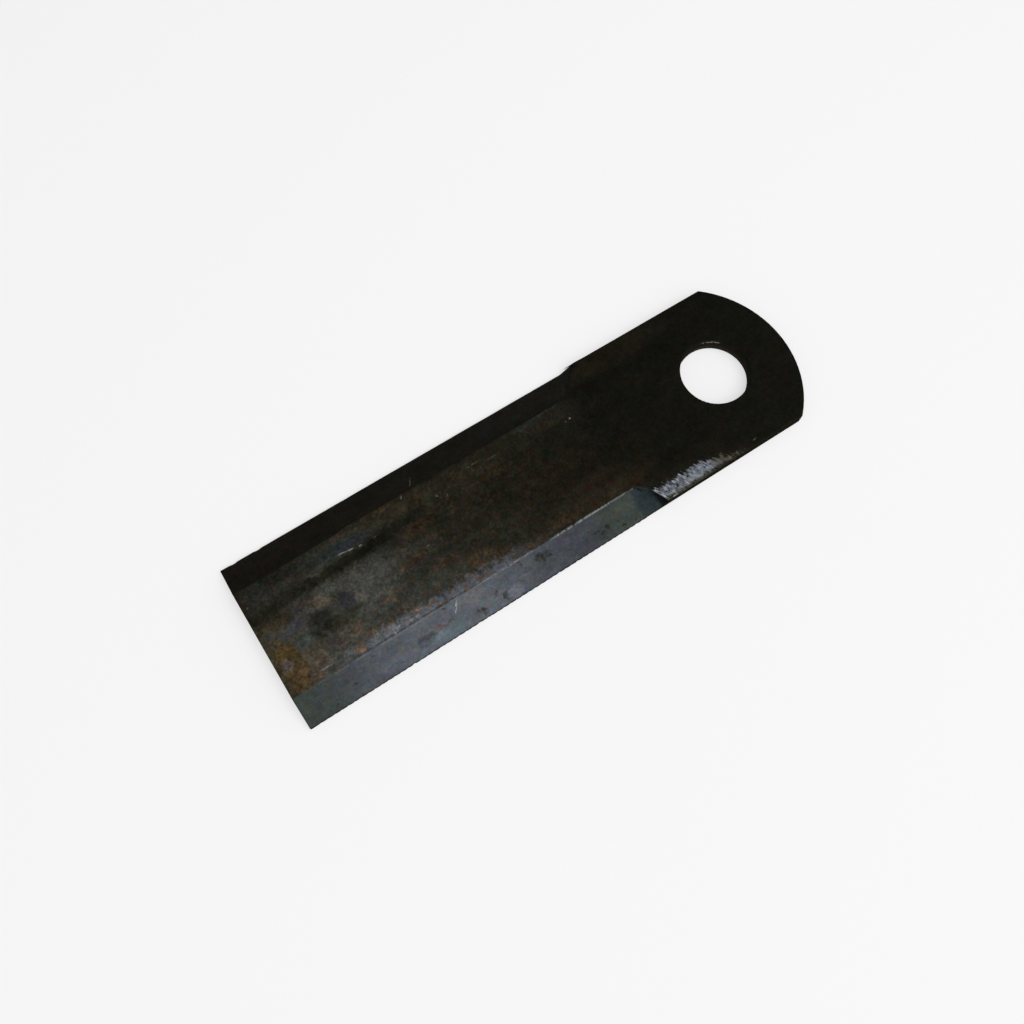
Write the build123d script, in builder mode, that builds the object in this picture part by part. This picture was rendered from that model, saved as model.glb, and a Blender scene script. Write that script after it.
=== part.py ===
"""Chopper knife: one flat steel bar with a bolt hole and two ground, serrated edges.

The knife lies flat with its ground side up. The origin is the centre of the bolt hole on the
flat underside, +X runs from the hole to the square free end, +Z points up out of the ground
side, and the two cutting edges lie along +Y and -Y. All sizes are in millimetres.
"""
from build123d import *
import os
from math import atan2, cos, degrees, floor, radians, sin, sqrt, tan

# Driving dimensions: the bar
bar_width = 50.0
bar_thickness = 4.0
rolled_edge_radius = 0.45       # the rolling mill leaves the bar's long edges rounded
hole_to_square_end = 149.0
hole_to_round_end = 24.0
round_end_radius = 33.0

# Driving dimensions: the bolt hole
hole_diameter = 20.5
punch_rounding = 0.4            # the punch draws the upper rim down

# Driving dimensions: the ground bevels
bevel_width = 8.4               # from the crest to the cutting edge, seen from above
edge_land = 1.2                 # upright flat left at the cutting edge
hole_to_bevel = 42.0            # where the straight part of each bevel begins, at the crest
near_nose_radius = 7.2          # the +Y run-out keeps the round nose of the wheel
near_skew = 8.5                 # degrees that it leans back towards the hole as it goes outwards
far_ramp_length = 5.4           # the -Y run-out is a straight ramp, measured along the bar
far_skew = 26.0

# Driving dimensions: the serration, fine grooves across the underside of each cutting edge
groove_pitch = 2.0
groove_depth = 0.5              # at the cutting edge, less than the land, and nothing at the inner end
groove_width = 1.1              # at the cutting edge
groove_reach = 7.0              # from the cutting edge inwards
end_margin = 1.0                # plain length between the last groove and the square end

# A cutter starts this far outside the steel, so that no two faces coincide
clear = 1.0
overrun = 2                     # and a bevel's cutter reaches this many times as far as its cut

# Sizes that follow from the driving dimensions
half_width = bar_width / 2
round_end_centre = round_end_radius - hole_to_round_end
shoulder_x = round_end_centre - sqrt(round_end_radius**2 - half_width**2)
bevel_drop = bar_thickness - edge_land
bevel_angle = atan2(bevel_drop, bevel_width)
bevel_length = hole_to_square_end - hole_to_bevel
groove_slope = atan2(groove_depth, groove_reach)
groove_count = floor((bevel_length - end_margin - groove_width / 2) / groove_pitch) + 1
first_groove_x = hole_to_bevel
last_groove_x = first_groove_x + (groove_count - 1) * groove_pitch

with BuildPart() as knife:
    # The blank: straight sides, a square free end and a shallow arc behind the hole
    with BuildSketch():
        with BuildLine():
            Line((shoulder_x, half_width), (hole_to_square_end, half_width))
            Line((hole_to_square_end, half_width), (hole_to_square_end, -half_width))
            Line((hole_to_square_end, -half_width), (shoulder_x, -half_width))
            ThreePointArc((shoulder_x, -half_width), (-hole_to_round_end, 0), (shoulder_x, half_width))
        make_face()
    extrude(amount=bar_thickness)

    # The shank keeps the rounded long edges of the rolled bar, as far as the first groove
    with BuildSketch(Plane.YZ.offset(first_groove_x)):
        with Locations((0, bar_thickness / 2)):
            Rectangle(bar_width + 2 * clear, bar_thickness + 2 * clear)
            RectangleRounded(bar_width, bar_thickness, rolled_edge_radius, mode=Mode.SUBTRACT)
    extrude(amount=-(first_groove_x + hole_to_round_end + clear), mode=Mode.SUBTRACT)

    # The punched bolt hole, its upper rim drawn down
    Hole(hole_diameter / 2)
    fillet(knife.faces().sort_by(Axis.Z)[-1].inner_wires().edges(), punch_rounding)

    # Each bevel is ground from the square end inwards, by a cutter whose profile stands square to
    # the bevel at the crest. It is drawn across the bevel on a slant, which skews the run-out.
    for side, skew in ((1, near_skew), (-1, far_skew)):
        bevel_plane = Plane(
            origin=(hole_to_bevel, side * (half_width - bevel_width), bar_thickness),
            x_dir=(1, 0, 0),
            z_dir=(0, -cos(bevel_angle), side * sin(bevel_angle)),
        )
        slant = tan(radians(skew)) * cos(bevel_angle)
        cutter_end = bevel_length + overrun * bevel_width * slant + clear
        with BuildSketch(bevel_plane):
            with BuildLine():
                if side > 0:
                    nose = CenterArc(
                        (0, near_nose_radius), near_nose_radius, start_angle=180, arc_size=90
                    )
                    nose_top = nose @ 0
                else:
                    nose_top = Vector(-far_ramp_length, bevel_drop * cos(bevel_angle)) * overrun
                    Line(nose_top, (0, 0))
                Polyline((0, 0), (cutter_end, 0), (cutter_end, nose_top.Y), nose_top)
            make_face()
        extrude(
            amount=overrun * bevel_width,
            dir=(-slant, side * cos(bevel_angle), -sin(bevel_angle)),
            both=True,
            mode=Mode.SUBTRACT,
        )

    # The serration: a comb of V grooves that climb out of the underside towards the middle
    for side in (1, -1):
        comb_start = Vector(
            (first_groove_x + last_groove_x) / 2,
            side * (half_width + clear),
            groove_depth + clear * tan(groove_slope),
        )
        with BuildSketch(Plane(origin=comb_start, x_dir=(-side, 0, 0), z_dir=(0, side, 0))):
            with GridLocations(groove_pitch, 0, groove_count, 1):
                Polygon(
                    (0, 0),
                    (-groove_width, -2 * groove_depth),
                    (groove_width, -2 * groove_depth),
                    align=None,
                )
        extrude(
            amount=(groove_reach + 2 * clear) / cos(groove_slope),
            dir=(0, -side * cos(groove_slope), -sin(groove_slope)),
            mode=Mode.SUBTRACT,
        )

knife.part.label = "chopper_knife"

os.makedirs("parts", exist_ok=True)
export_step(knife.part, "parts/chopper_knife.step")

print(f"overall {hole_to_square_end + hole_to_round_end:.1f} x {bar_width:.1f} x {bar_thickness:.1f} mm")
print(f"bevel angle {degrees(bevel_angle):.1f} degrees, {groove_count} grooves on each edge")
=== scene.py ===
# %% [markdown]
# # A chopper knife: rolled black, ground along both edges, and left to rust a little
#
# The real object is one flat bar of hardened steel. It was rolled, sheared, punched, ground along
# two edges and hardened, and after that it lay about and took on some rust. The model follows the
# same order: the exact bar comes first, then what the rolls and the wheel did to its surface, and
# then the finish. This first cell opens the exact bar, which sets every size in the lesson.

# %% Open the exact knife
from math import cos, radians, sin, sqrt, tan

import bmesh
import bpy
from bpy_extras.object_utils import world_to_camera_view
from mathutils import Matrix, Vector


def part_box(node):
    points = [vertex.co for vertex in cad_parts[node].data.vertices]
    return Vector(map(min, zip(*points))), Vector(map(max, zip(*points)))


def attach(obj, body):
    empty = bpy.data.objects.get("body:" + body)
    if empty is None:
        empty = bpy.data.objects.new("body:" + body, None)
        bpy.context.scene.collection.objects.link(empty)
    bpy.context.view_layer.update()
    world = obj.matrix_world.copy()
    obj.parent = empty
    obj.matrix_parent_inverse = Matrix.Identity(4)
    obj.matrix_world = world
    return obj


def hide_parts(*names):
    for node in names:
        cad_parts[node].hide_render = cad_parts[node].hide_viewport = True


MM = 0.001                      # every size below is written in millimetres and turned to metres

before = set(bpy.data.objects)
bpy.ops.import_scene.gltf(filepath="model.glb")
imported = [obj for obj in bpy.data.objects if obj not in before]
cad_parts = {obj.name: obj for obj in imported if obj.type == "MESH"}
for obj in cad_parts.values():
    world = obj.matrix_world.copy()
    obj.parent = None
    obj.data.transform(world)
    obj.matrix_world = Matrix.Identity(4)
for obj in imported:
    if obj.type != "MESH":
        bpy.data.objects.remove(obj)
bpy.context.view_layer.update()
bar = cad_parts["chopper_knife"]
low, high = (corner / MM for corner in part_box("chopper_knife"))
print("the knife reaches from", [round(v, 2) for v in low], "to", [round(v, 2) for v in high])

# %% [markdown]
# ## The sizes that the finish needs
#
# The wheel, the rolls and the rust all keep to the knife's own lines: the crest, where the flat
# top turns down into a ground bevel, and the run-out, where the wheel stopped. Both are written
# here once, so that the surface and its colours stay on the same lines. The wheel left a round nose
# at the end of the near bevel and a straight ramp at the end of the far one.

# %% Write down the knife's lines
HALF_WIDTH = high.y
THICKNESS = high.z
SQUARE_END = high.x
BEVEL_WIDTH = 8.4
EDGE_LAND = 1.2
RUN_OUT = 42.0                  # the straight part of each bevel ends this far from the hole
NOSE_RADIUS = 7.2               # of the near run-out
NOSE_SKEW = radians(8.5)
RAMP_LENGTH = 5.4               # of the far run-out
RAMP_SKEW = radians(26)
SERRATION_REACH = 7.0
SERRATION_DEPTH = 0.5
CREST = HALF_WIDTH - BEVEL_WIDTH
BEVEL_SLOPE = (THICKNESS - EDGE_LAND) / BEVEL_WIDTH
BEVEL_SINE = BEVEL_SLOPE / sqrt(1 + BEVEL_SLOPE**2)
BEVEL_COSINE = sqrt(1 - BEVEL_SINE**2)
print("crests at y = +-%.1f mm, bevel slope %.3f" % (CREST, BEVEL_SLOPE))

# %% [markdown]
# ## The camera
#
# The knife was photographed from above and a little from the side of one cutting edge, close up, so
# that the square end is drawn larger than the round one. The camera is given as a photographer
# would say it: where it stands, what it points at and how far it is rolled.

# %% Place the camera
CAMERA_PLACE = Vector((126.85, 76.14, 242.63))
CAMERA_AIM = Vector((73.6, 3.75, 2.0))
CAMERA_ROLL = 3.29              # degrees
LENS = 32.57                    # millimetres, on a sensor 36 mm wide

lens_data = bpy.data.cameras.new("camera")
lens_data.lens = LENS
lens_data.sensor_width = 36
lens_data.clip_start = 0.01
camera = bpy.data.objects.new("camera", lens_data)
bpy.context.scene.collection.objects.link(camera)
looking = (CAMERA_AIM - CAMERA_PLACE).to_track_quat("-Z", "Y").to_matrix().to_4x4()
camera.matrix_world = (
    Matrix.Translation(CAMERA_PLACE * MM) @ looking @ Matrix.Rotation(radians(CAMERA_ROLL), 4, "Z")
)
bpy.context.scene.camera = camera

# %% [markdown]
# The corners of the square end show whether the view is right: in the photograph they lie at about
# (220, 571) and (311, 729) in a picture of 1024 by 1024.

# %% Check the view
PICTURE = 1024
scene = bpy.context.scene
kept_size = scene.render.resolution_x, scene.render.resolution_y
scene.render.resolution_x = scene.render.resolution_y = PICTURE
bpy.context.view_layer.update()
for name, side in (("far corner", -1), ("near corner", 1)):
    seen = world_to_camera_view(scene, camera, Vector((SQUARE_END, side * HALF_WIDTH, 0)) * MM)
    print("%s at (%.1f, %.1f)" % (name, seen.x * PICTURE, (1 - seen.y) * PICTURE))
scene.render.resolution_x, scene.render.resolution_y = kept_size

# %% [markdown]
# ## A small tool for joining nodes
#
# Surfaces and finishes are both built from nodes. `Value` wraps one output socket and lets Python's
# own operators add the Math nodes, so a formula in the script reads like a formula. `Bench` holds one
# tree: it adds any other node from its type, its settings and the values or links of its sockets.

# %% Make the tool
class Value:
    """One output socket of a tree, with arithmetic."""

    def __init__(self, bench, socket):
        self.bench = bench
        self.socket = socket

    def __add__(self, other):
        return self.bench.maths("ADD", self, other)

    def __sub__(self, other):
        return self.bench.maths("SUBTRACT", self, other)

    def __rsub__(self, other):
        return self.bench.maths("SUBTRACT", other, self)

    def __mul__(self, other):
        return self.bench.maths("MULTIPLY", self, other)

    def __truediv__(self, other):
        return self.bench.maths("DIVIDE", self, other)

    def __neg__(self):
        return self * -1

    def __abs__(self):
        return self.bench.maths("ABSOLUTE", self)

    def __rpow__(self, base):
        return self.bench.maths("POWER", base, self)

    __radd__ = __add__
    __rmul__ = __mul__


class Bench:
    """Adds nodes to one tree and joins them."""

    def __init__(self, tree):
        self.tree = tree

    def node(self, kind, settings=None, **sockets):
        new = self.tree.nodes.new(kind)
        for name, setting in (settings or {}).items():
            setattr(new, name, setting)
        for name, value in sockets.items():
            self.join(new, name, value)
        return new

    def join(self, node, name, value):
        target = next(
            s for s in node.inputs
            if name == s.identifier or s.enabled and name == s.name.replace(" ", "_")
        )
        if isinstance(value, Value):
            self.tree.links.new(value.socket, target)
        else:
            target.default_value = value

    def out(self, node, name=0):
        if isinstance(name, str):
            name = next(i for i, s in enumerate(node.outputs) if s.enabled and s.name == name)
        return Value(self, node.outputs[name])

    def maths(self, operation, *values, clamp=False):
        new = self.tree.nodes.new("ShaderNodeMath")
        new.operation = operation
        new.use_clamp = clamp
        for i, value in enumerate(values):
            if isinstance(value, Value):
                self.tree.links.new(value.socket, new.inputs[i])
            else:
                new.inputs[i].default_value = value
        return Value(self, new.outputs[0])

    def vectors(self, operation, *values):
        new = self.tree.nodes.new("ShaderNodeVectorMath")
        new.operation = operation
        for i, value in enumerate(values):
            target = new.inputs["Scale"] if operation == "SCALE" and i == 1 else new.inputs[i]
            if isinstance(value, Value):
                self.tree.links.new(value.socket, target)
            else:
                target.default_value = value
        return Value(self, new.outputs["Value" if operation == "DOT_PRODUCT" else "Vector"])

    def parts(self, vector):
        split = self.node("ShaderNodeSeparateXYZ", Vector=vector)
        return [Value(self, s) for s in split.outputs]

    def step(self, value, low, high):
        """0 below low and 1 above high, with a smooth rise between; low may be the larger one."""
        ramp = self.node("ShaderNodeMapRange", {"interpolation_type": "SMOOTHSTEP"}, Value=value)
        ramp.inputs["From Min"].default_value = low
        ramp.inputs["From Max"].default_value = high
        return Value(self, ramp.outputs[0])

    def noise(self, place, size, detail=2.0, roughness=0.5, seed=0.0):
        """Cloudy noise from 0 to 1 about 0.5, with blots about as wide as size."""
        return self.out(self.node(
            "ShaderNodeTexNoise", {"noise_dimensions": "4D"},
            Vector=place, W=seed, Scale=1 / size, Detail=detail, Roughness=roughness,
        ))

    def blend(self, mask, first, second):
        """Goes from the first colour to the second as the mask goes from 0 to 1."""
        mix = self.node(
            "ShaderNodeMix", {"data_type": "VECTOR"},
            Factor_Float=mask, A_Vector=first, B_Vector=second,
        )
        return Value(self, next(s for s in mix.outputs if s.identifier == "Result_Vector"))

    def glide(self, mask, first, second):
        """A number that goes from first to second as the mask goes from 0 to 1."""
        return mask * (second - first) + first


print("the node tool is ready")

# %% [markdown]
# ## The bar's mesh, made ready for wear
#
# The exact knife comes as long thin triangles with knife-sharp corners. No corner of a real bar is
# that sharp. So a copy is merged, its flat faces are joined up again, and the corners that a shear, a
# punch or a wheel left are broken a little. They are picked by where they are and by how far they
# turn. The grooves under the cutting edges keep the corners that were cut into them.

# %% Copy the bar and break its corners
CREST_ROUNDING = 0.25
CORNER_ROUNDING = 0.14
SHARP_TURN = radians(60)
CREST_TURN = radians(12)

steel = bmesh.new()
steel.from_mesh(bar.data)
bmesh.ops.remove_doubles(steel, verts=steel.verts, dist=0.03 * MM)
bmesh.ops.dissolve_limit(steel, angle_limit=radians(0.6), verts=steel.verts, edges=steel.edges)


def middle(edge):
    return (edge.verts[0].co + edge.verts[1].co) / 2 / MM


def turned(edge):
    return edge.calc_face_angle(0) if len(edge.link_faces) == 2 else 0


def is_crest(edge):
    at = middle(edge)
    on_top = at.z > THICKNESS - 0.02 and at.x > RUN_OUT - 2 * NOSE_RADIUS
    return on_top and abs(at.y) > CREST - 0.1 and CREST_TURN < turned(edge) < SHARP_TURN


def is_sharp(edge):
    at = middle(edge)
    in_grooves = at.z < EDGE_LAND - 0.1 and abs(at.y) > HALF_WIDTH - SERRATION_REACH - 1
    in_grooves = in_grooves and at.x > RUN_OUT - 2
    at_end_face = at.x > SQUARE_END - 0.01
    in_bore = Vector((at.x, at.y, 0)).length < 12
    return turned(edge) > SHARP_TURN and not in_bore and (at_end_face or not in_grooves)


for kind, choose, rounding in (("crest", is_crest, CREST_ROUNDING), ("sharp", is_sharp, CORNER_ROUNDING)):
    picked = [e for e in steel.edges if choose(e)]
    bmesh.ops.bevel(
        steel, geom=picked, offset=rounding * MM, offset_type="OFFSET", segments=2, profile=0.5,
        affect="EDGES", clamp_overlap=False,
    )
    print("rounded %d %s edges by %.2f mm" % (len(picked), kind, rounding))

# %% [markdown]
# Wear needs points to move. The flat faces get them by being sliced into a fine net, first across
# the bar and then along it. Slicing leaves every line of the exact knife where it is, and a remesh
# would not.

# %% Slice the faces into a net
CELL = 0.8


def slices(start, end):
    count = round((end - start) / CELL)
    return [start + (end - start) * (i + 0.5) / count for i in range(count)]


for axis, start, end in (((1, 0, 0), low.x, high.x), ((0, 1, 0), low.y, high.y)):
    for cut in slices(start, end):
        everything = steel.verts[:] + steel.edges[:] + steel.faces[:]
        bmesh.ops.bisect_plane(
            steel, geom=everything, dist=0.01 * MM, plane_co=Vector(axis) * cut * MM, plane_no=axis)
bmesh.ops.triangulate(steel, faces=[f for f in steel.faces if len(f.verts) > 4])
bmesh.ops.dissolve_degenerate(steel, dist=0.01 * MM, edges=steel.edges)
bmesh.ops.triangulate(steel, faces=steel.faces)
print("the net has", len(steel.faces), "triangles")

# %% [markdown]
# Merging very short edges can leave a stray face behind: a fin that hangs on a single edge, or two
# faces back to back on the same three corners. Nobody would see one in a picture, but a solid has
# neither, so they are looked for and taken away. After that every edge joins exactly two faces.

# %% Take away stray faces
def stray_faces(mesh):
    by_corners = {}
    for face in mesh.faces:
        by_corners.setdefault(frozenset(face.verts), []).append(face)
    pairs = [face for same in by_corners.values() if len(same) > 1 for face in same]
    fins = [face for face in mesh.faces if sum(edge.is_boundary for edge in face.edges) > 1]
    return list(dict.fromkeys(pairs + fins))


strays = stray_faces(steel)
bmesh.ops.delete(steel, geom=strays, context="FACES")
badly_joined = sum(len(edge.link_faces) != 2 for edge in steel.edges)
print("%d stray faces went, and %d edges are badly joined" % (len(strays), badly_joined))

for face in steel.faces:
    face.smooth = True
net = bpy.data.meshes.new("steel_net")
steel.to_mesh(net)
steel.free()
net.set_sharp_from_angle(angle=radians(38))

# %% [markdown]
# ## Lines that the surface and its finish share
#
# Some lines are used twice, once to move the surface and once to colour it: the crest with its two
# run-outs, the edge of a patch just beyond the near run-out, which something rubbed down to bright
# metal, and the bottom of a long shallow hollow, which bends away from the middle of the bar.
#
# The wheel stood square to the bevel, so a point's place past the start of the run-out is measured
# along the bar after taking off the skew. The ground steel ends where the wheel's profile, measured
# square to the bevel, comes up through the flat.

# %% Write the shared lines as formulas
BURNISH_START = 6.0             # the rubbed patch begins this far from the hole
BURNISH_WIDE = 21.0             # and from here on it is as wide as it gets
BURNISH_INNER = 20.3            # its inner edge there, measured from the middle of the bar
HOLLOW_END = -7.4               # the shallow hollow meets the square end at this y
HOLLOW_DRIFT = 0.02             # and drifts outwards this much for each millimetre along the bar
HOLLOW_BEND = 112.0             # up to here, and from here on
HOLLOW_TURN = 0.12              # this much more


def past_run_out(bench, x, y, skew):
    """Millimetres past the start of a run-out, towards the hole, and never below 0."""
    outwards = abs(y) - CREST
    return bench.maths("MAXIMUM", RUN_OUT - outwards * (tan(skew) * BEVEL_COSINE**2) - x, 0.0)


def beyond_crest(bench, x, y):
    """Millimetres outwards from the crest, measured across the bar: above 0 on ground steel."""
    round_nose = bench.maths("MINIMUM", past_run_out(bench, x, y, NOSE_SKEW), NOSE_RADIUS)
    near_rise = (NOSE_RADIUS - bench.maths("SQRT", NOSE_RADIUS**2 - round_nose * round_nose)) / BEVEL_SINE
    far_rise = past_run_out(bench, x, y, RAMP_SKEW) * (BEVEL_WIDTH / RAMP_LENGTH)
    rise = bench.glide(bench.step(y, -1.0, 1.0), far_rise, near_rise)
    return abs(y) - CREST - rise


def beyond_burnish(bench, x, y):
    """Millimetres outwards from the inner edge of the rubbed patch."""
    narrowing = (HALF_WIDTH - BURNISH_INNER) / (BURNISH_WIDE - BURNISH_START)
    return y - BURNISH_INNER - bench.maths("MAXIMUM", BURNISH_WIDE - x, 0.0) * narrowing


def from_hollow(bench, x, y):
    """Millimetres across from the bottom of the shallow hollow."""
    bend = bench.maths("MAXIMUM", HOLLOW_BEND - x, 0.0) * HOLLOW_TURN
    return y - HOLLOW_END + (SQUARE_END - x) * HOLLOW_DRIFT + bend


nose_end = sqrt(NOSE_RADIUS**2 - (NOSE_RADIUS - BEVEL_WIDTH * BEVEL_SINE)**2)
print("the near run-out curve is %.1f mm long at the cutting edge" % nose_end)

# %% [markdown]
# ## Wear as geometry
#
# A rolled bar is slightly wavy, a crest ground by hand wanders, and the edges have small nicks. All
# of these follow rules, so Geometry Nodes make them: each rule moves the points of the net by some
# hundredths or tenths of a millimetre. The underside stays flat, because the knife lies on it. The
# distance from the crest is kept as an attribute before anything moves, so the finish can use it.

# %% Build the wear tree
wear = bpy.data.node_groups.new("knife_wear", "GeometryNodeTree")
wear.interface.new_socket("Geometry", in_out="INPUT", socket_type="NodeSocketGeometry")
WEAR_SIZES = {
    "Near wander": 0.14,
    "Far wander": 0.34,
    "Far shift": 0.5,
    "Waviness": 0.09,
    "Unevenness": 0.022,
    "Hollow depth": 0.12,
    "Rubbed slope": 0.12,
    "Nick depth": 0.16,
    "Seed": 4.0,
}
identifiers = {}
for name, size in WEAR_SIZES.items():
    socket = wear.interface.new_socket(name, in_out="INPUT", socket_type="NodeSocketFloat")
    identifiers[name] = socket.identifier
socket = wear.interface.new_socket("Material", in_out="INPUT", socket_type="NodeSocketMaterial")
identifiers["Material"] = socket.identifier
wear.interface.new_socket("Geometry", in_out="OUTPUT", socket_type="NodeSocketGeometry")

geo = Bench(wear)
entry = geo.node("NodeGroupInput")
size = {name: geo.out(entry, name) for name in WEAR_SIZES}
place = geo.vectors("SCALE", geo.out(geo.node("GeometryNodeInputPosition")), 1 / MM)
x, y, z = geo.parts(place)
crest_distance = beyond_crest(geo, x, y)
keep = geo.node(
    "GeometryNodeStoreNamedAttribute", {"data_type": "FLOAT", "domain": "POINT"},
    Geometry=geo.out(entry, "Geometry"), Name="from_crest", Value=crest_distance,
)
print("the wear tree takes", ", ".join(identifiers))

# %% [markdown]
# The crest is moved across the bar, and the move fades out on both sides of it, so the flat and the
# bevel stay whole. The far crest also lies a little further in over the last stretch before the
# square end, where the wheel bit deeper.

# %% Let the crest wander
DEEPER_FROM = 114.0
DEEPER_FULLY = 118.0


def swing(value_place, blot, seed_shift):
    """Noise from -1 to 1."""
    return geo.noise(value_place, blot, detail=1.5, seed=size["Seed"] + seed_shift) * 2 - 1


line_place = geo.out(geo.node("ShaderNodeCombineXYZ", X=x, Y=geo.maths("SIGN", y) * 40))
fade = geo.step(abs(crest_distance), 5.0, 0.3) * geo.step(z, 1.6, 3.0)
on_near_side = geo.step(y, -1.0, 1.0)
wander = swing(line_place, 22.0, 0.0) + swing(line_place, 3.5, 1.0) * 0.35
wander = wander * geo.glide(on_near_side, size["Far wander"], size["Near wander"])
deeper = geo.step(x, DEEPER_FROM, DEEPER_FULLY) * (1 - on_near_side) * size["Far shift"]
across = (wander + deeper) * fade
print("the far crest lies %.1f mm further in from x = %.0f mm on" % (WEAR_SIZES["Far shift"], DEEPER_FULLY))

# %% [markdown]
# Up and down there are four moves: the long waves of the rolled bar, its smaller unevenness, the
# shallow hollow that runs in from the square end, and the rubbed patch, which leans outwards.
# They act fully on the top and not at all on the underside. The nicks push the cutting edges in.

# %% Move the surface and finish the tree
HOLLOW_HALF_WIDTH = 2.2
HOLLOW_STOPS = 92.0

flat_place = geo.out(geo.node("ShaderNodeCombineXYZ", X=x, Y=y))
waves = swing(flat_place, 24.0, 2.0) * size["Waviness"] + swing(flat_place, 4.5, 3.0) * size["Unevenness"]
hollow = geo.step(abs(from_hollow(geo, x, y)), HOLLOW_HALF_WIDTH, 0.0)
hollow = hollow * geo.step(x, HOLLOW_STOPS, HOLLOW_STOPS + 15) * size["Hollow depth"]
rubbed = geo.maths("MAXIMUM", beyond_burnish(geo, x, y), 0.0) * size["Rubbed slope"]
rubbed = rubbed * geo.step(y, 10.0, 15.0) * geo.step(x, RUN_OUT - 1, RUN_OUT - 6) * geo.step(z, 0.6, 3.7)
upwards = (waves - hollow) * geo.step(z, 0.6, 1.1) - rubbed

edge_place = geo.out(geo.node("ShaderNodeCombineXYZ", X=x, Y=geo.maths("SIGN", y) * 40, Z=z * 0.5))
nicks = geo.step(geo.noise(edge_place, 2.2, seed=size["Seed"] + 4), 0.6, 0.72) * size["Nick depth"]
at_edge = geo.step(abs(y), HALF_WIDTH - 0.5, HALF_WIDTH) * geo.step(x, RUN_OUT, RUN_OUT + 4)
inwards = (nicks + swing(edge_place, 9.0, 5.0) * 0.04) * at_edge * geo.maths("SIGN", y) * -1

offset = geo.vectors(
    "SCALE", geo.out(geo.node("ShaderNodeCombineXYZ", Y=across + inwards, Z=upwards)), MM)
moved = geo.node("GeometryNodeSetPosition", Geometry=geo.out(keep), Offset=offset)
realized = geo.node("GeometryNodeRealizeInstances", Geometry=geo.out(moved))
coated = geo.node("GeometryNodeSetMaterial", Geometry=geo.out(realized), Material=geo.out(entry, "Material"))
exit_node = geo.node("NodeGroupOutput", Geometry=geo.out(coated))
print("the wear tree has", len(wear.nodes), "nodes")

# %% [markdown]
# ## The finish, one layer at a time
#
# All of the steel shares one material. Its patterns are measured in millimetres from the hole, in
# the knife's own coordinates, and a second, slightly warped copy of them gives every stain a ragged
# edge. `patch` makes one oval stain.
#
# The renderer works through the nodes in the order in which they were made, and has room for only so
# many results at a time. So each mask is used soon after it is made, masks are joined one by one, and
# colours stay vectors until the end, because each change from one kind of socket to another waits
# for all the rest.

# %% Start the finish
finish = bpy.data.materials.new("blade_steel_finish")
finish.use_nodes = True
finish.node_tree.nodes.clear()
mat = Bench(finish.node_tree)

where = mat.vectors("SCALE", mat.out(mat.node("ShaderNodeTexCoord"), "Object"), 1 / MM)
x, y, z = mat.parts(where)
streaked = mat.vectors("MULTIPLY", where, (0.4, 1.0, 1.0))
shift = mat.out(mat.node(
    "ShaderNodeCombineXYZ", X=mat.noise(where, 2.0, detail=4, seed=31) - 0.5,
    Y=mat.noise(where, 2.0, detail=4, seed=32) - 0.5,
))
ragged = mat.vectors("ADD", where, mat.vectors("SCALE", shift, 5.0))
torn_a_little = mat.vectors("ADD", where, mat.vectors("SCALE", shift, 1.2))


def patch(centre, radii, turn=0.0, edge=0.5, source=ragged):
    """An oval mask: 1 inside, fading out over the last part of its radius."""
    away = mat.vectors("SUBTRACT", source, (*centre, 0))
    turn = radians(turn)
    along = mat.vectors("DOT_PRODUCT", away, (cos(turn) / radii[0], sin(turn) / radii[0], 0))
    across = mat.vectors("DOT_PRODUCT", away, (-sin(turn) / radii[1], cos(turn) / radii[1], 0))
    return mat.step(along * along + across * across, (1 + edge)**2, (1 - edge)**2)


def any_of(masks):
    """The strongest of some masks, joined one by one as they are made."""
    total = 0.0
    for mask in masks:
        total = mat.maths("MAXIMUM", mask, total)
    return total


print("the finish is measured in millimetres")

# %% [markdown]
# ### Lightness in stops
#
# Dark steel shows its stains as a photographer would count them, in stops: one stop up is twice as
# light. So each kind of surface is a `Skin`, which has a hue and a lightness in stops above its
# darkest level. A stain adds stops, or takes them off, and pulls the hue its own way. The hues are
# colours of equal lightness, so that only the stops decide how light a place is.

# %% Name the hues
OLIVE = (1.03, 1.02, 0.70)
BROWN = (1.18, 0.98, 0.62)
GREY = (0.99, 1.01, 0.87)
BLUISH = (0.92, 1.00, 1.16)
COLD = (0.78, 1.05, 1.16)
GREENISH = (0.85, 1.05, 0.92)
VIOLET = (0.99, 0.99, 1.06)
PINKISH = (1.22, 0.94, 0.84)
TAN = (1.18, 0.97, 0.72)
OCHRE = (1.46, 0.94, 0.28)
RUSTY = (1.46, 0.90, 0.48)
RED = (1.75, 0.80, 0.58)


class Skin:
    """A surface as a hue and a lightness, counted in stops above its darkest level."""

    def __init__(self, level, hue, stops):
        self.level = level
        self.hue = hue
        self.stops = stops

    def stain(self, mask, stops, hue=None):
        self.stops = self.stops + mask * stops
        if hue:
            self.hue = mat.blend(mask, self.hue, hue)

    def colour(self):
        return mat.vectors("SCALE", self.hue, 2.0**self.stops * self.level)


print("twelve hues are named")

# %% [markdown]
# Each finish keeps to its own part of the steel. The crest distance comes from the attribute that
# the wear tree kept, so the ground steel ends at the wandering crest: sharply on the near side, and
# with a rough edge on the far side.

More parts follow.
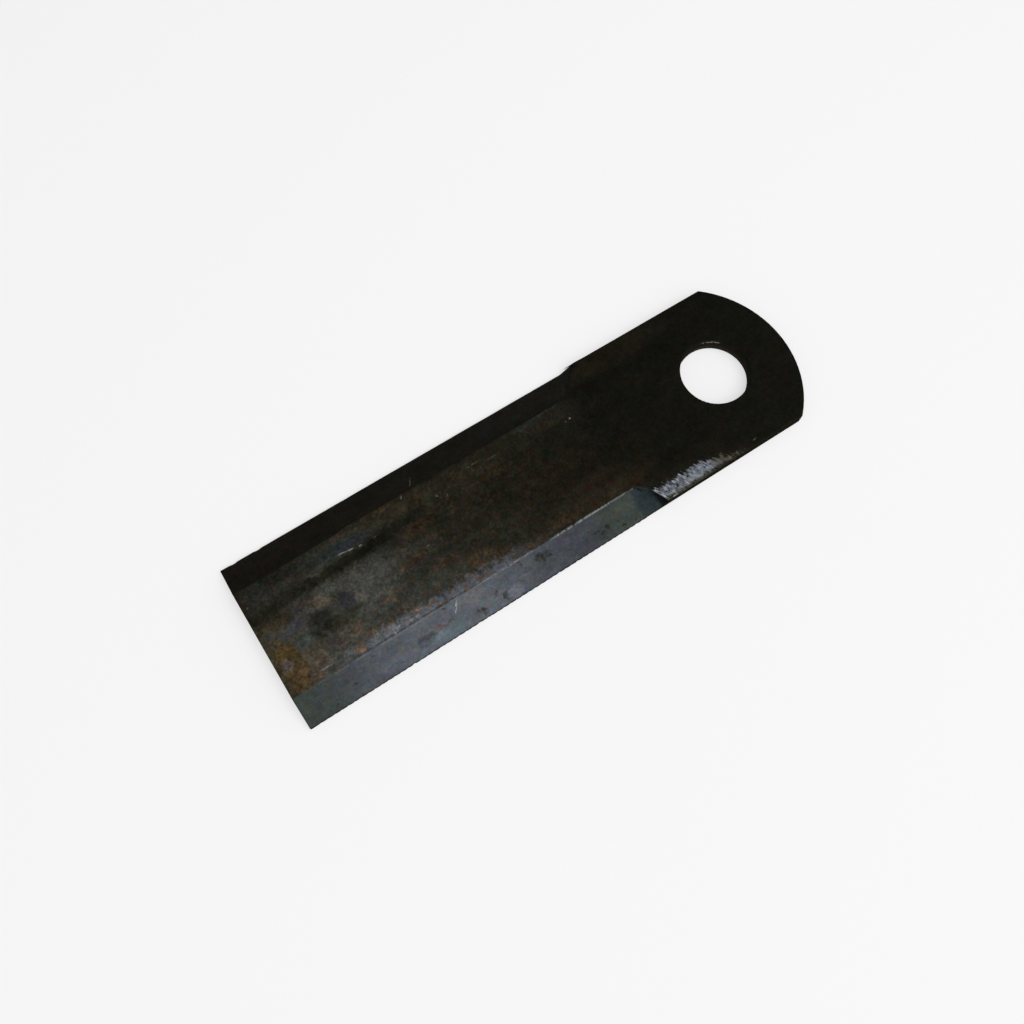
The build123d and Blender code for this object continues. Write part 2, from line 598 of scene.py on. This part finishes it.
# %% Say where each finish lies
crest = mat.out(mat.node("ShaderNodeAttribute", {"attribute_name": "from_crest"}), "Fac")
facing = mat.parts(mat.out(mat.node("ShaderNodeTexCoord"), "Normal"))
faces_up = mat.step(facing[2], 0.25, 0.5)
faces_down = mat.step(facing[2], -0.4, -0.6)
near_side = mat.step(y, -1.0, 1.0)
grit = mat.noise(where, 0.7, detail=3, roughness=0.65, seed=1)
mottle = mat.noise(where, 2.0, detail=5, roughness=0.65, seed=3)
clouds = mat.noise(streaked, 5.0, detail=4, roughness=0.6, seed=2)
roughened = (grit + mottle - 1) * mat.glide(near_side, 1.1, 0.25)
ground = mat.step(crest + roughened, -0.12, 0.12) * faces_up
on_flat = faces_up * (1 - ground)
in_bore = mat.step(x * x + y * y, 11.0**2, 10.6**2)
print("the finish knows the flat, the bevels, the underside and the bore")

# %% [markdown]
# ### Mill scale
#
# Hot rolling leaves a skin of black oxide. It is nearly black about the hole and grey towards the square
# end, sooner on the near side than on the far side. This is partly scale worn grey and partly a painted
# gradient of light, as the lamp's reflection on the flat grows towards the square end. The hue goes
# from olive through brown to grey, with small patches that lean to red, green or blue.

# %% Lay down the mill scale
SCALE_LEVEL = 0.0087
SLANT = 1.6                     # lines of equal lightness lean this far along the bar for each mm across
RISE_FROM = 36.0
RISE_TO = 148.0
RISE = 2.75                     # stops from the hole to the square end

leaning = x + y * SLANT + (clouds - 0.5) * 30
liveliness = mat.step(x, 10.0, 95.0)
# Partly painted light: this rise stands for worn scale and also for the lamp's reflection, which is brighter
# towards the square end.
rise = mat.step(leaning, RISE_FROM, RISE_TO) * RISE
far_lift = mat.step(y, -5.0, -13.0) * mat.step(x, 30.0, 60.0) * mat.step(x, 136.0, 112.0) * 0.6
middle_lift = mat.step(y, 5.0, -5.0) * mat.step(x, 34.0, 48.0) * mat.step(x, 124.0, 58.0) * 0.5
blots = (clouds - 0.5) * mat.glide(liveliness, 1.5, 1.7) + (mottle - 0.5) * mat.glide(liveliness, 1.7, 3.0)
grains = (grit - 0.5) * mat.glide(liveliness, 1.9, 3.2)

brownness = mat.step(x + y * 0.8, 22.0, 60.0) * mat.step(clouds, 0.32, 0.62)
hue = mat.blend(brownness, OLIVE, BROWN)
hue = mat.blend(mat.step(leaning, 74.0, 132.0) * 0.9, hue, GREY)
warmth = mat.noise(where, 1.8, detail=4, seed=21) - 0.5
blueness = mat.noise(where, 2.0, detail=4, seed=22) - 0.5
tint = mat.out(mat.node(
    "ShaderNodeCombineXYZ", X=warmth * 1.2 + 1, Y=1 - warmth * 0.35, Z=blueness * 1.5 + 1))
flat = Skin(SCALE_LEVEL, mat.vectors("MULTIPLY", hue, tint), rise + far_lift + middle_lift + blots + grains)
print("the scale lightens by %.1f stops towards the square end" % RISE)

# %% [markdown]
# ### Large stains, and two painted highlights
#
# Broad soft places come next. The far corner of the square end is darker, the middle of that end is
# worn lighter, damp or grease left dark lobes there, and one slanted patch is tan. Two light streaks
# along the far crest are painted highlights, where the crest catches the light. A pale band, where
# the scale has been rubbed through, runs along the near crest.

# %% Stain the flat broadly
flat.stain(mat.step(x, 127.0, 140.0) * mat.step(y, 0.0, -7.0), -0.75, None)
for centre, radii, stops, tone in (
    ((115, -1), (7.0, 5.0), 0.8, GREY),
    ((127, -4.5), (3.2, 2.0), 0.45, GREY),
    ((140, 0), (3.5, 2.2), 0.0, VIOLET),
    ((138.3, 5.3), (1.8, 1.5), 0.1, GREENISH),
    ((143.5, -3.5), (4.0, 2.6), -0.25, BROWN),
    ((133, 2.6), (2.8, 2.6), -1.0, GREY),
    ((128.5, 5.3), (5.0, 1.7), -0.75, OLIVE),
    ((124.5, 1.6), (2.0, 2.2), -0.45, VIOLET),
    ((120, -12.4), (8.0, 1.7), -0.1, GREENISH),
    ((116, -11.6), (5.0, 0.9), 0.15, BLUISH),
    # A painted highlight: a light patch where the far crest catches the light.
    ((57.6, -15.4), (3.0, 0.9), 0.6, GREENISH),
    ((51, 14.0), (15.0, 2.2), 0.35, BROWN),
    ((103.5, 3.5), (4.0, 3.0), -0.4, None),
    ((139, 11), (4.0, 3.6), 0.3, TAN),
    # A painted highlight: a thin light line along the far crest.
    ((49.0, -16.4), (4.6, 0.35), 0.9, GREY),
    ((24, -22), (15.0, 4.0), 0.6, BROWN),
):
    flat.stain(patch(centre, radii), stops, tone)
tan_patch = patch((130.8, -2.0), (3.8, 1.5), turn=-24) * mat.step(mottle, 0.36, 0.5)
flat.stain(tan_patch, 0.7, TAN)

band = mat.step(y + (mottle - 0.5) * 6, 12.2, 14.6) * mat.step(x, 70.0, 84.0) * mat.step(x, 143.0, 118.0)
band = band * mat.step(crest, 0.1, -0.3)
flat.stain(band, 1.25, BLUISH)
flat.stain(band * mat.step(crest, -0.8, -0.35) * mat.step(x, 96.0, 102.0), -0.95, None)
print("eighteen broad places and one pale band")

# %% [markdown]
# The shallow hollow is painted darker, as painted shade where it turns away from the light. It is
# darkest and narrowest in the middle of its length, and spreads out towards the square end.

# %% Paint shade into the hollow
hx, hy, hz = mat.parts(ragged)
hollow_offset = abs(from_hollow(mat, hx, hy))
narrow = mat.step(hollow_offset, 1.7, 0.5) * mat.step(hx, 104.0, 112.0) * mat.step(hx, 138.0, 129.0)
broad = mat.step(hollow_offset, 3.0, 0.6) * mat.step(hx, 90.0, 102.0)
# Painted shade along the hollow.
flat.stain(narrow, -0.85, OLIVE)
flat.stain(broad, -0.55, OLIVE)
print("the hollow is dark from x = 110 to 130 mm")

# %% [markdown]
# ### Rust
#
# Rust starts as specks where the scale has cracked, thickest along the near crest, and gathers into
# a few clusters. At the square end it has run into a broken ochre stain. Rust is a crust, so its mask
# is kept for the roughness and the bump too.

# %% Scatter the rust
CLUSTERS = (
    ((88.2, 10.8), (2.6, 1.8)), ((82.4, 12.4), (2.2, 1.1)), ((95.2, 6.4), (1.8, 1.3)),
    ((98.4, 6.8), (1.2, 0.9)), ((87.0, 6.2), (1.6, 0.7)), ((62.0, 14.0), (4.2, 1.2)),
    ((40.0, 14.6), (2.4, 1.8)), ((52.4, 15.2), (1.6, 0.6)), ((123.2, 12.2), (1.2, 0.8)),
    ((127.0, 9.0), (2.6, 1.6)), ((127.5, 14.4), (1.2, 1.3)), ((113.6, 7.3), (3.0, 0.6)),
    ((104.4, 1.8), (3.6, 0.9)), ((97.0, -6.0), (4.4, 1.5)), ((94.2, -12.4), (1.3, 2.2)),
    ((105.5, -15.7), (4.6, 0.9)), ((87.6, -7.6), (1.3, 1.8)), ((76.0, -1.6), (2.0, 1.3)),
    ((70.5, -9.0), (1.7, 1.6)), ((74.6, 15.2), (1.3, 0.9)), ((118.0, 13.0), (1.4, 0.6)),
    ((111.0, 14.0), (1.6, 0.6)), ((141.6, 15.5), (1.9, 0.6)), ((137.0, 7.8), (0.9, 0.7)),
)
RED_SPOTS = (
    ((46.6, 12.0), 0.8), ((52.5, 10.0), 0.9), ((-16.8, 12.8), 0.8), ((33.8, 0.8), 0.7), ((65.0, -5.0), 0.8),
)

specks = mat.noise(where, 1.2, detail=3, roughness=0.6, seed=5)
along_crest = mat.step(y, 4.0, 12.0) * mat.step(x, 22.0, 44.0) * mat.step(x, 136.0, 110.0)
speckled = mat.step(specks + along_crest * 0.07 + mat.step(x, 20.0, 60.0) * 0.03, 0.64, 0.72)
flat.stain(speckled * 0.8, 0.0, RUSTY)
clusters = any_of(patch(centre, radii, edge=0.6) for centre, radii in CLUSTERS)
clusters = clusters * mat.step(mottle, 0.36, 0.54) * mat.step(grit, 0.36, 0.56)
flat.stain(clusters, 0.3, RUSTY)
red_spots = any_of(patch(centre, (radius, radius * 0.7), edge=0.6) for centre, radius in RED_SPOTS)
flat.stain(red_spots, -0.1, RED)
crust = mat.maths("MAXIMUM", speckled * 0.6, clusters * 0.7)
print("specks, %d clusters and %d red spots" % (len(CLUSTERS), len(RED_SPOTS)))

# %% [markdown]
# The ochre stain is a broken ring about a paler middle. Its outer part is orange, and the last
# millimetres before the square end are reddish brown.

# %% Run the ochre over the square end
ochre = patch((145.8, 9.2), (4.4, 7.0), edge=0.35) * mat.step(mottle, 0.3, 0.5)
flat.stain(ochre * 0.9, -0.1, OCHRE)
flat.stain(ochre * mat.step(grit, 0.5, 0.36), -0.7, BROWN)
crust = mat.maths("MAXIMUM", crust, ochre * 0.7)
flat.stain(patch((146.0, 8.5), (1.4, 1.5)), 0.75, PINKISH)
flat.stain(patch((145.0, 13.2), (2.6, 1.7)) * 0.8, 0.4, RUSTY)
margin = mat.step(x + (mottle - 0.5) * 3, 146.6, 148.2)
flat.stain(margin * 0.8, -0.45, BROWN)
print("the ochre keeps to the last 8 mm")

# %% [markdown]
# ### Flecks and glints
#
# Where single flakes of scale have come off, there are small dark pits and paler spots. The glints are
# painted highlights: light caught on a few scratches and knocks, painted in as bright metal. Each glint
# has a place, a half length, a half width, a turn and a strength.

# %% Fleck and scratch the steel
# The colour of the painted highlights.
PAINTED_HIGHLIGHT = (0.30, 0.305, 0.29)
GLINTS = (
    ((118.9, -10.6), 1.2, 0.16, -8, 0.8), ((116.6, -10.3), 0.7, 0.16, -8, 0.8),
    ((114.2, -9.9), 0.7, 0.15, -10, 0.7), ((122.6, -11.1), 0.8, 0.12, -6, 0.12),
    ((104.3, -10.7), 0.4, 0.15, 20, 0.15), ((109.2, -9.8), 0.5, 0.12, 20, 0.15),
    ((97.5, -15.8), 0.5, 0.2, 60, 0.4), ((88.9, -10.8), 0.4, 0.2, 0, 0.4),
    ((86.5, -9.5), 0.4, 0.15, 30, 0.3), ((44.4, -10.7), 0.3, 0.25, 0, 0.7),
    ((46.0, -10.4), 0.15, 0.12, 0, 0.4), ((98.3, 0.3), 0.35, 0.3, 0, 0.6),
    ((137.6, 14.2), 1.3, 0.22, 0, 0.55), ((116.5, 15.0), 0.6, 0.22, 20, 0.8),
    ((112.8, 15.3), 0.45, 0.25, 0, 0.7), ((111.0, 15.3), 0.5, 0.22, 0, 0.7),
    ((118.0, 15.8), 0.5, 0.25, 60, 0.7), ((92.9, -18.8), 1.2, 0.16, 59, 0.35),
    ((101.1, 18.6), 1.4, 0.2, 57, 0.5), ((33.0, 24.6), 0.7, 0.15, 0, 0.6),
    ((3.8, 23.2), 0.6, 0.2, 10, 0.2), ((76.0, -13.6), 1.6, 0.18, 0, 0.18),
    ((70.0, -12.5), 1.4, 0.15, 0, 0.18), ((147.4, -10.8), 0.25, 0.25, 0, 0.2),
)

flecks = mat.noise(where, 0.8, detail=2, roughness=0.6, seed=6)
fleck_pits = mat.step(flecks, 0.36, 0.29)
flat.stain(fleck_pits, -0.9, None)
flat.stain(mat.step(flecks, 0.66, 0.74) * liveliness, 0.7, GREY)
flat_colour = flat.colour()
# Painted highlights on scratches and knocks.
glints = any_of(
    patch(centre, (length, width), turn=turn, edge=0.6, source=torn_a_little) * strength
    for centre, length, width, turn, strength in GLINTS
)
glints = glints * mat.step(flecks, 0.3, 0.55) * faces_up
print(len(GLINTS), "glints")

# %% [markdown]
# ### Ground bevels
#
# The wheel cut through the scale to bare steel. The near bevel has dulled to a cool grey, lightest in
# the middle of its length, with small pits and one reddish streak. The far side is an even dark brown:
# partly tarnish, and partly painted shade, since it lies away from the lamp. Fine grinding marks follow
# the wheel's way, along the bar.

# %% Grind the near bevel
NEAR_LEVEL = 0.032
BEVEL_PITS = (
    ((74.3, 19.2), (1.5, 1.0), 0), ((72.6, 20.2), (1.3, 0.5), 0), ((88.3, 23.2), (0.7, 1.2), 0),
    ((90.0, 21.0), (0.5, 0.5), 0), ((95.5, 23.0), (1.5, 0.9), 0), ((54.6, 22.2), (1.6, 0.5), 20),
    ((50.0, 23.4), (0.7, 0.4), 0), ((57.2, 21.6), (0.9, 0.3), 0), ((45.3, 24.3), (0.8, 0.4), 0),
    ((104.2, 17.5), (0.5, 0.4), 0), ((134.0, 21.0), (0.8, 0.3), -20),
    ((80.5, 17.6), (0.4, 0.8), 0),
)

bevel_cloud = mat.noise(streaked, 3.6, detail=5, roughness=0.6, seed=7)
marks = mat.noise(mat.vectors("MULTIPLY", where, (0.05, 1.0, 1.0)), 0.3, detail=3, seed=8)
pitting = mat.noise(where, 1.3, detail=4, roughness=0.7, seed=9)
length_share = mat.step(x, 148.0, 113.0) * mat.step(x, 54.0, 98.0)
bevel_hue = mat.blend(mat.step(x, 148.0, 130.0) * mat.step(x, 50.0, 62.0), GREENISH, BLUISH)
pale_tint = mat.blend(0.5, (1.0, 1.0, 1.0), tint)
bevel_hue = mat.vectors("MULTIPLY", bevel_hue, pale_tint)
bevel_tone = length_share * 1.05 + (bevel_cloud - 0.5) * 1.9 + (marks - 0.5) * 0.5
bevel_tone = bevel_tone + (mottle - 0.5) * 1.0 + (grit - 0.5) * 1.7
near_bevel = Skin(NEAR_LEVEL, bevel_hue, bevel_tone)
near_bevel.stain(patch((105, 23.0), (5.0, 1.6)) * 0.8, 0.2, COLD)
near_bevel.stain(patch((85.5, 23.0), (2.0, 1.3)), 0.4, None)
near_bevel.stain(patch((97.0, 18.5), (3.4, 1.2)), 0.2, VIOLET)
near_bevel.stain(patch((49.0, 19.4), (1.0, 0.8)) * 0.6, 0.1, OLIVE)
near_bevel.stain(patch((112.0, 21.4), (2.4, 0.9), edge=0.95) * mat.step(pitting, 0.36, 0.56), -0.8, None)

pits = any_of(patch(centre, radii, turn) for centre, radii, turn in BEVEL_PITS)
small_pits = mat.step(pitting, 0.64, 0.74) * mat.step(x, 41.0, 44.0) * 0.8
pits = mat.maths("MAXIMUM", pits * mat.step(pitting, 0.34, 0.6), small_pits)
near_bevel.stain(pits, -1.3, GREY)
near_bevel.stain(patch((108.3, 20.2), (2.0, 0.35), -23) * 0.8, -0.5, PINKISH)
near_bevel.stain(patch((104.8, 21.0), (2.0, 0.35), 3) * 0.8, -0.5, PINKISH)
print("%d named pits on the near bevel, and a scatter of small ones" % len(BEVEL_PITS))

# %% [markdown]
# The near run-out is painted darker, as painted shade: a dark band lies just where the steel begins to
# rise, and the top of the wall, which turns away from the lamp, is darker still. The far ramp is
# painted darker too.

# %% Paint shade on the run-outs and the far bevel
# Half the near bevel's level: partly brown tarnish, partly painted shade on the side away from the lamp.
FAR_LEVEL = 0.016

up_the_wall = past_run_out(mat, x, y, NOSE_SKEW)
# Painted shade: a dark band at the foot of the near run-out, and the wall above it darker, as it turns away
# from the lamp.
near_bevel.stain(mat.step(abs(x + (mottle - 0.5) * 3 - 41.7), 2.8, 0.4), -0.6, COLD)
near_bevel.stain(mat.step(up_the_wall, 0.0, 2.0), -0.75, COLD)
near_bevel.stain(mat.step(up_the_wall, 3.1, 4.3), -1.7, GREENISH)

far_hue = mat.vectors("MULTIPLY", mat.blend(mat.step(clouds, 0.4, 0.62), TAN, OLIVE), pale_tint)
far_tone = (bevel_cloud - 0.5) * 1.4 + (mottle - 0.5) * 1.5 + (grit - 0.5) * 2.0
far_bevel = Skin(FAR_LEVEL, far_hue, far_tone)
far_bevel.stain(patch((66, -20), (5.0, 3.5)) * 0.8, 0.0, GREY)
on_ramp = mat.step(past_run_out(mat, x, y, RAMP_SKEW), 0.0, 1.0)
# Painted shade: the far ramp, which turns away from the lamp, is darkened by 2.2 stops.
far_bevel.stain(on_ramp * mat.step(crest, 0.3, 1.3), -2.2, OLIVE)
ground_colour = mat.blend(near_side, far_bevel.colour(), near_bevel.colour())
print("the near wall is dark, and the far bevel is brown")

# %% [markdown]
# ### Bright places
#
# Handling polishes what stands proud. The near crest has a thin bright line, broken by wear. The
# patch beyond the run-out is the brightest place of all: brushed metal with a frayed inner edge and
# dark pits, which thins out to a tan tail towards the round end.

# %% Rub the bright places
CREST_LINE = (0.118, 0.124, 0.125)
BURNISH_LEVEL = 0.103
BRUSH_TURN = radians(-33)

strong = mat.step(x, 41.0, 43.5) * mat.glide(mat.step(x, 48.0, 54.0), 0.5, 1.15) * mat.step(x, 71.0, 66.0)
softer = mat.step(x, 74.0, 77.0) * mat.step(x, 99.0, 88.0) * 0.75
faint = mat.step(x, 96.0, 102.0) * mat.step(x, 149.0, 128.0) * 0.4
line_wear = mat.step(mat.noise(where, 2.0, detail=3, seed=11), 0.64, 0.5)
line_wear = line_wear * mat.step(mat.noise(where, 0.7, detail=2, seed=13), 0.34, 0.54)
line_width = mat.step(abs(crest - 0.1), 0.45, 0.1)
crest_line = (strong + softer + faint) * line_wear * line_width * near_side
run_out_line = mat.step(abs(crest), 0.4, 0.1) * mat.step(x, 39.5, 37.0) * mat.step(y, 19.5, 21.5)
crest_line = mat.maths("MAXIMUM", crest_line, run_out_line * 0.9) * faces_up

brush_way = Vector((sin(BRUSH_TURN), cos(BRUSH_TURN), 0))
brush_side = Vector((cos(BRUSH_TURN), -sin(BRUSH_TURN), 0))
brush_place = mat.out(mat.node(
    "ShaderNodeCombineXYZ", X=mat.vectors("DOT_PRODUCT", where, brush_side[:]),
    Y=mat.vectors("DOT_PRODUCT", where, brush_way[:]) * 0.3,
))
bristle = mat.noise(brush_place, 0.55, detail=4, roughness=0.6, seed=12)
lean = beyond_burnish(mat, x, y + (bristle - 0.5) * 6 + (mottle - 0.5) * 3)
burnished = mat.step(lean, -0.1, 0.5) * mat.step(x, 3.0, 9.0) * mat.step(y, 15.0, 18.0) * on_flat
tail = mat.step(x, 20.0, 14.0)
brushing = mat.glide(mat.step(x, 22.0, 30.0), 4.0, 8.0)
rubbed_tone = (bristle - 0.5) * brushing + (pitting - 0.5) * -4.0 - mat.step(lean, 1.4, 0.0) * 0.9
burnish = Skin(BURNISH_LEVEL, mat.blend(tail * 0.9, BLUISH, TAN), rubbed_tone)
burnish.stain(mat.step(y + (mottle - 0.5) * 2.5, 23.7, 24.6), -1.8, OLIVE)
burnish.stain(tail, -0.8, None)
burnish.stain(mat.step(abs(x - 16.0), 3.2, 1.2), -0.5, None)
burnish.stain(mat.step(pitting + mat.step(x, 25.0, 33.0) * 0.05, 0.57, 0.63), -2.2, GREY)
top_colour = mat.blend(burnished, flat_colour, burnish.colour())
top_colour = mat.blend(ground, top_colour, ground_colour)
top_colour = mat.blend(glints, top_colour, PAINTED_HIGHLIGHT)
top_colour = mat.blend(crest_line, top_colour, CREST_LINE)
print("one broken line and one brushed patch are bright")

# %% [markdown]
# ### The hidden and the narrow faces
#
# The sheared edges, the wall of the hole and the underside get plainer finishes: dull dark steel on
# the edges, a torn grey wall where the punch went through, and plain scale below, with brighter
# grooves where the serration was cut.

# %% Finish the edges, the hole and the underside
EDGE_LEVEL = 0.009
BORE_LEVEL = 0.014
GROOVE_LEVEL = 0.075

sides = (1 - faces_up) * (1 - faces_down)
edge_skin = Skin(EDGE_LEVEL, BROWN, (mottle - 0.5) * 2.0 + (grit - 0.5) * 1.5)
edge_skin.stain(speckled, 0.6, RUSTY)
torn = mat.step(z + (mottle - 0.5) * 2, 2.2, 1.2)
bore = Skin(BORE_LEVEL, TAN, (mottle - 0.5) * 2.0 + torn * 0.8)
# A painted highlight: a glint along the top rim of the hole's wall.
glint = patch((-5, -8.5), (3.0, 2.2), edge=0.3, source=where) * mat.step(z, 3.0, 3.4)
bore.stain(glint * mat.step(flecks, 0.42, 0.6), 4.0, GREY)
side_colour = mat.blend(in_bore, edge_skin.colour(), bore.colour())

under = Skin(SCALE_LEVEL, mat.vectors("MULTIPLY", OLIVE, tint), blots + grains + 0.6)
under.stain(speckled * 0.8, 0.5, RUSTY)
in_groove = mat.step(z, 0.02, 0.06) * mat.step(z, 0.62, 0.56) * mat.step(x, RUN_OUT - 1, RUN_OUT - 0.5)
in_groove = in_groove * mat.step(abs(y), HALF_WIDTH + 0.2, HALF_WIDTH - 0.2) * mat.step(facing[2], 0.2, -0.2)
groove = Skin(GROOVE_LEVEL, GREY, (mottle - 0.5) * 1.5 + mat.step(z, 0.1, 0.5) * -0.6)
under_colour = mat.blend(in_groove, under.colour(), groove.colour())
print("edges, bore, underside and grooves have finishes of their own")

# %% [markdown]
# ## Put the layers together
#
# The top already has its layers in the order in which they came to the real knife: scale, stains and
# rust, then grinding, then rubbing. The other faces join it here, and roughness and metalness follow
# the same masks. A bump adds only what is too fine to be a shape: grit, pits, rust's crust and the
# wheel's marks.

# %% Join the layers to the shader
colour = mat.blend(sides, top_colour, side_colour)
colour = mat.blend(mat.maths("MAXIMUM", faces_down, in_groove), colour, under_colour)

crust = crust * (1 - ground)
rough = mat.glide(mottle, 0.44, 0.62)
rough = mat.glide(crust, rough, 0.85)
rough = mat.glide(ground, rough, mat.glide(bevel_cloud, 0.34, 0.5))
rough = mat.glide(any_of((burnished, glints, crest_line)), rough, 0.36)
rough = mat.glide(sides, rough, 0.8)
metal = (0.92 - crust * 0.6) * (1 - sides)

height = (grit - 0.5) * 0.028 + (mottle - 0.5) * 0.05 - fleck_pits * 0.015
height = height * (1 - ground * 0.8) * (1 - burnished * 0.6)
height = height + crust * grit * 0.04 + (marks - 0.5) * ground * 0.007 - pits * ground * 0.04
bump = mat.node("ShaderNodeBump", Strength=1.0, Distance=MM, Height=height)
shader = mat.node(
    "ShaderNodeBsdfPrincipled", Base_Color=colour, Roughness=rough, Metallic=metal, Normal=mat.out(bump))
shader.inputs["Specular IOR Level"].default_value = 0.0
mat.node("ShaderNodeOutputMaterial", Surface=mat.out(shader))
print("the finish has", len(finish.node_tree.nodes), "nodes")

# %% [markdown]
# ## Wear the knife and set it in the frame
#
# The net gets the wear tree, and the result is taken as a plain mesh. Weighted normals keep the flat
# faces flat to the eye right up to their rounded corners. The knife then stands for the exact bar.

# %% Make the worn knife
worker = bpy.data.objects.new("steel_worker", net)
bpy.context.scene.collection.objects.link(worker)
wearing = worker.modifiers.new("wear", "NODES")
wearing.node_group = wear
for name, amount in WEAR_SIZES.items():
    wearing[identifiers[name]] = amount
wearing[identifiers["Material"]] = finish
weighting = worker.modifiers.new("weighted normals", "WEIGHTED_NORMAL")
weighting.keep_sharp = True
weighting.weight = 50
bpy.context.view_layer.update()

worn = worker.evaluated_get(bpy.context.evaluated_depsgraph_get())
knife_mesh = bpy.data.meshes.new_from_object(worn)
knife_mesh.name = "chopper_knife_steel"
bpy.data.objects.remove(worker)
knife = bpy.data.objects.new("chopper_knife_steel", knife_mesh)
bpy.context.scene.collection.objects.link(knife)
knife_mesh.calc_loop_triangles()
print("the worn knife has", len(knife_mesh.loop_triangles), "triangles")

# %% Stand it in for the exact bar
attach(knife, "root")
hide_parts("chopper_knife")

# %% [markdown]
# ## Floor and light
#
# The knife lies on a plain white floor. The paint is part lit and part shown at its own whiteness, so
# the floor reads as white paper to the eye and to the steel, and still keeps a soft shadow. One large
# soft lamp hangs above the near side, so the near bevel catches it and the far bevel does not, which
# is what gives a flat black bar its shape.

# %% Lay the floor
FLOOR_SIZE = 8.0                # metres
FLOOR_COLOUR = (0.90, 0.90, 0.90, 1)
PAPER_SHARE = 0.55

floor_mesh = bpy.data.meshes.new("floor")
half = FLOOR_SIZE / 2
floor_mesh.from_pydata(
    [(-half, -half, 0), (half, -half, 0), (half, half, 0), (-half, half, 0)], [], [(0, 1, 2, 3)])
floor_mesh.transform(Matrix.Translation((0, 0, -0.02 * MM)))
floor = bpy.data.objects.new("floor", floor_mesh)
bpy.context.scene.collection.objects.link(floor)
paint = bpy.data.materials.new("floor_paint")
paint.use_nodes = True
paint.node_tree.nodes.clear()
tray = Bench(paint.node_tree)
ray = tray.node("ShaderNodeLightPath")
seen = tray.maths("MAXIMUM", tray.out(ray, "Is Camera Ray"), tray.out(ray, "Is Glossy Ray"))
lit = tray.node("ShaderNodeBsdfDiffuse", Color=FLOOR_COLOUR)
paper = tray.node("ShaderNodeEmission", Color=(1, 1, 1, 1), Strength=1.0)
mixed = tray.node("ShaderNodeMixShader", Fac=seen * PAPER_SHARE)
tray.tree.links.new(lit.outputs[0], mixed.inputs[1])
tray.tree.links.new(paper.outputs[0], mixed.inputs[2])
tray.node("ShaderNodeOutputMaterial", Surface=tray.out(mixed))
floor_mesh.materials.append(paint)
print("floor laid, %.0f m square" % FLOOR_SIZE)

# %% Hang the lamp
LAMP_PLACE = Vector((-0.15, 0.42, 1.0))
LAMP_SIZE = (1.4, 1.2)
LAMP_RADIANCE = 1.5

lamp_data = bpy.data.lights.new("soft_lamp", "AREA")
lamp_data.shape = "RECTANGLE"
lamp_data.size, lamp_data.size_y = LAMP_SIZE
lamp_data.energy = LAMP_RADIANCE * 3.14159 * LAMP_SIZE[0] * LAMP_SIZE[1]
lamp = bpy.data.objects.new("soft_lamp", lamp_data)
lamp.location = LAMP_PLACE
lamp.rotation_euler = (-LAMP_PLACE).to_track_quat("-Z", "Y").to_euler()
bpy.context.scene.collection.objects.link(lamp)
print("the lamp gives %.1f W" % lamp_data.energy)

# %% [markdown]
# The room around the knife is pale at eye level, brighter above the near side than above the far
# side. Every ray sees the same room, so what shines in the steel is what lights it.

# %% Build the room's light
NEAR_SKY = 0.75
FAR_SKY = 0.25
HORIZON = 0.85

room = bpy.data.worlds.new("room")
bpy.context.scene.world = room
room.use_nodes = True
room.node_tree.nodes.clear()
sky = Bench(room.node_tree)
dx, dy, dz = sky.parts(sky.out(sky.node("ShaderNodeTexCoord"), "Generated"))
overhead = sky.glide(sky.step(dy, -0.6, 0.6), FAR_SKY, NEAR_SKY)
level = sky.glide(sky.step(dz, 0.34, 0.12), overhead, HORIZON)
tone = sky.out(sky.node("ShaderNodeCombineColor", Red=level, Green=level, Blue=level))
backdrop = sky.node("ShaderNodeBackground", Color=tone, Strength=1.0)
sky.node("ShaderNodeOutputWorld", Surface=sky.out(backdrop))
bpy.context.scene.view_settings.view_transform = "Standard"
print("the room is lit")
